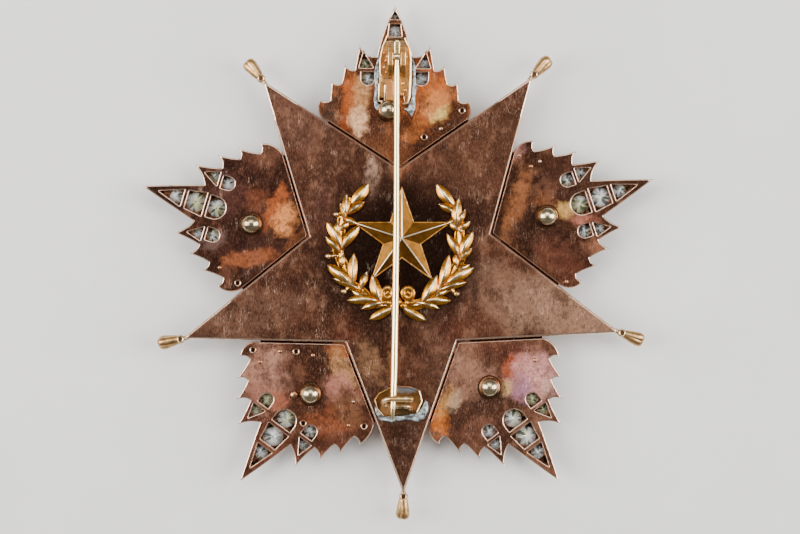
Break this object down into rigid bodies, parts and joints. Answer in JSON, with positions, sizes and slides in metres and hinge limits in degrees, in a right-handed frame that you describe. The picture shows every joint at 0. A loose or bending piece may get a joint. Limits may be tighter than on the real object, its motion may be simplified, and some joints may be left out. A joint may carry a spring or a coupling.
{
  "type": "breast star",
  "caption": "Five-pointed metal breast star with toothed leaves between its arms, stones set in their points, bud finials, and a hinged pin and open hook on its back",
  "frame": {"origin": "middle of the flat face of the front boss, on which the star rests face down", "axes": "+X right and +Y up as the back is seen with one leaf at the top, +Z from the front to the back"},
  "size_m": [0.0896, 0.0901, 0.011],
  "materials": {
    "back_plate": "copper-brown oxidised plate with fine brushed scratches",
    "front_metal": "polished rose gold",
    "leaf_plate": "heat-tinted copper-brown plate with polished edges",
    "gilt": "worn gilding, satin",
    "hinge_gold": "satin gold",
    "catch_gold": "satin gold, darkened",
    "pin_gold": "polished yellow gold",
    "stud_gold": "polished gold ball nuts",
    "finial_gold": "polished pale gold",
    "stone": "clear cut stone"
  },
  "bodies": {
    "root": {"star_back": "back_plate", "star_front": "front_metal", "wreath_and_star": "gilt", "hinge_bracket": "hinge_gold", "catch": "catch_gold", "leaf_top": "leaf_plate", "stud_top": "stud_gold", "stone_top_point": "stone", "stone_top_upper": "stone", "stone_top_middle": "stone", "stone_top_side_left": "stone", "stone_top_side_right": "stone", "stone_top_lower_left": "stone", "stone_top_lower_right": "stone", "leaf_left": "leaf_plate", "stud_left": "stud_gold", "stone_left_point": "stone", "stone_left_upper": "stone", "stone_left_middle": "stone", "stone_left_side_left": "stone", "stone_left_side_right": "stone", "stone_left_lower_left": "stone", "stone_left_lower_right": "stone", "leaf_lower_left": "leaf_plate", "stud_lower_left": "stud_gold", "stone_lower_left_point": "stone", "stone_lower_left_upper": "stone", "stone_lower_left_middle": "stone", "stone_lower_left_side_left": "stone", "stone_lower_left_side_right": "stone", "stone_lower_left_lower_left": "stone", "stone_lower_left_lower_right": "stone", "leaf_lower_right": "leaf_plate", "stud_lower_right": "stud_gold", "stone_lower_right_point": "stone", "stone_lower_right_upper": "stone", "stone_lower_right_middle": "stone", "stone_lower_right_side_left": "stone", "stone_lower_right_side_right": "stone", "stone_lower_right_lower_left": "stone", "stone_lower_right_lower_right": "stone", "leaf_right": "leaf_plate", "stud_right": "stud_gold", "stone_right_point": "stone", "stone_right_upper": "stone", "stone_right_middle": "stone", "stone_right_side_left": "stone", "stone_right_side_right": "stone", "stone_right_lower_left": "stone", "stone_right_lower_right": "stone", "finial_upper_right": "finial_gold", "finial_upper_left": "finial_gold", "finial_left": "finial_gold", "finial_bottom": "finial_gold", "finial_right": "finial_gold"},
    "swing_pin": {"pin": "pin_gold"}
  },
  "joints": [
    {"name": "pin_swing", "type": "hinge", "parent": "root", "child": "swing_pin", "pos_m": [-0.00006, 0.03612, 0.00935], "axis": [-0.9997, 0.0262, 0], "range_deg": [0, 100]}
  ]
}
